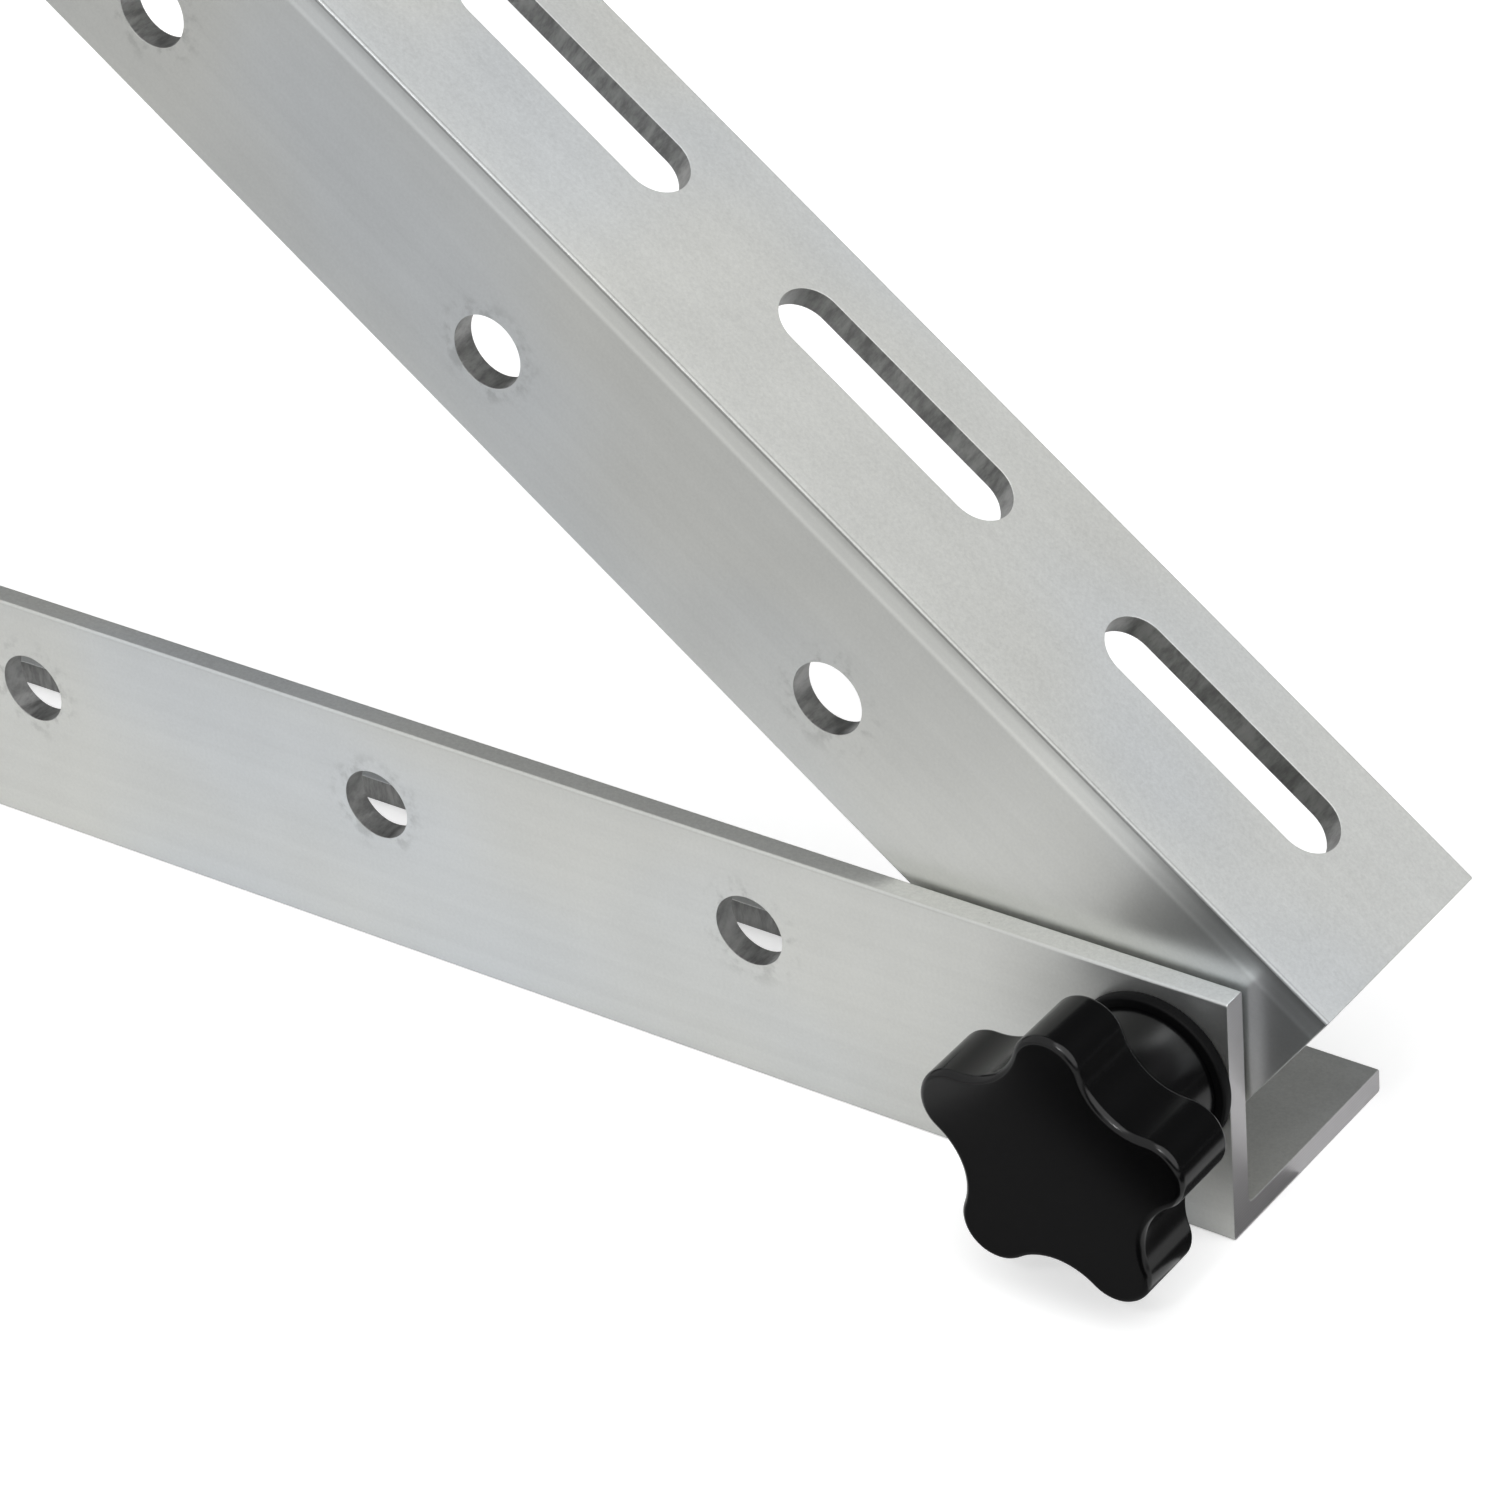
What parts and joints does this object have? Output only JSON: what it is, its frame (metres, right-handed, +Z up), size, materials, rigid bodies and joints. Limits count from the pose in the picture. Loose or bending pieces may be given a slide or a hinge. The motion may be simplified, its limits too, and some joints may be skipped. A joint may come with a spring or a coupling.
{
  "type": "solar panel bracket",
  "caption": "Hinged tilt bracket for a solar panel: two slotted aluminium angle rails, joined at one end by a bolt with a black star knob that clamps the angle.",
  "frame": {"origin": "underside of the base rail's foot, on the line of its slots, straight below the hinge axis", "axes": "+X along the base rail towards its hinge end, +Y from the knob side to the back, along the hinge axis, +Z up"},
  "size_m": [0.7388, 0.0535, 0.4676],
  "materials": {
    "rail_aluminium": "mill finish, satin",
    "knob_black": "gloss",
    "washer_black": "satin",
    "spacer_black": "satin",
    "zinc_steel": "bright zinc plate"
  },
  "bodies": {
    "base": {"base_rail": "rail_aluminium", "rail_spacer": "spacer_black"},
    "panel": {"panel_rail": "rail_aluminium", "flat_washer": "zinc_steel", "spring_washer": "zinc_steel", "hex_nut": "zinc_steel"},
    "washer": {"knob_washer": "washer_black"},
    "knob": {"star_knob": "knob_black", "knob_bolt": "zinc_steel"}
  },
  "joints": [
    {"name": "panel_hinge", "type": "hinge", "parent": "base", "child": "panel", "pos_m": [0, -0.015, 0.019], "axis": [0, 1, 0], "range_deg": [-37, 73]},
    {"name": "knob_travel", "type": "slide", "parent": "base", "child": "washer", "axis": [0, -1, 0], "range_m": [0, 0.0026]},
    {"name": "knob_turn", "type": "hinge", "parent": "washer", "child": "knob", "pos_m": [0, -0.03, 0.019], "axis": [0, -1, 0], "range_deg": [0, 720]}
  ],
  "couplings": [
    {"joint": "knob_travel", "follows": "knob_turn", "m_per_rad": 0.00019894}
  ]
}
